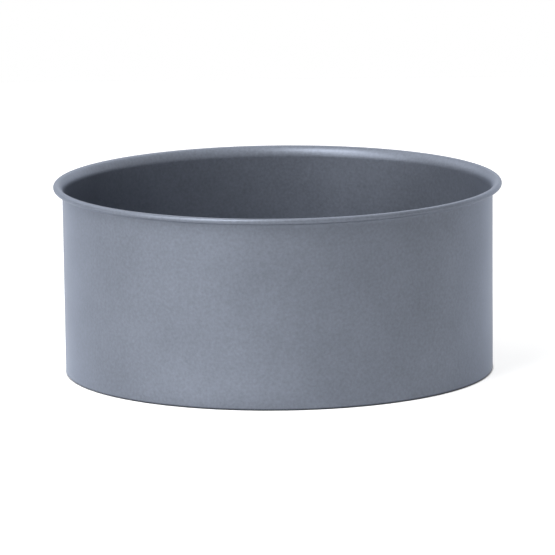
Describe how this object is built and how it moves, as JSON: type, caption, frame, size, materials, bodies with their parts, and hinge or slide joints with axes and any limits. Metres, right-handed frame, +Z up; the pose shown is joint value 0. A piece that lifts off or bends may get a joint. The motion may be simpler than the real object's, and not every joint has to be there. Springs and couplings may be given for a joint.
{
  "type": "round cake tin",
  "caption": "Deep round cake tin in satin grey coated steel, with a flared and rolled rim, an inward ledge at its foot and a loose base disc that lifts out.",
  "frame": {"origin": "centre of the tin's foot, on the surface it stands on", "axes": "+Z up along the tin's axis, out of its mouth; the tin is round, so +X and +Y are any two directions at right angles across it"},
  "size_m": [0.2106, 0.2106, 0.0895],
  "materials": {
    "grey_coating": "satin metallic non-stick coating",
    "wire_steel": "drawn steel wire"
  },
  "bodies": {
    "tin": {"side_wall": "grey_coating", "rim_wire": "wire_steel"},
    "base": {"loose_base": "grey_coating"}
  },
  "joints": [
    {"name": "base_lift", "type": "slide", "parent": "tin", "child": "base", "axis": [0, 0, 1], "range_m": [0, 0.1]}
  ]
}
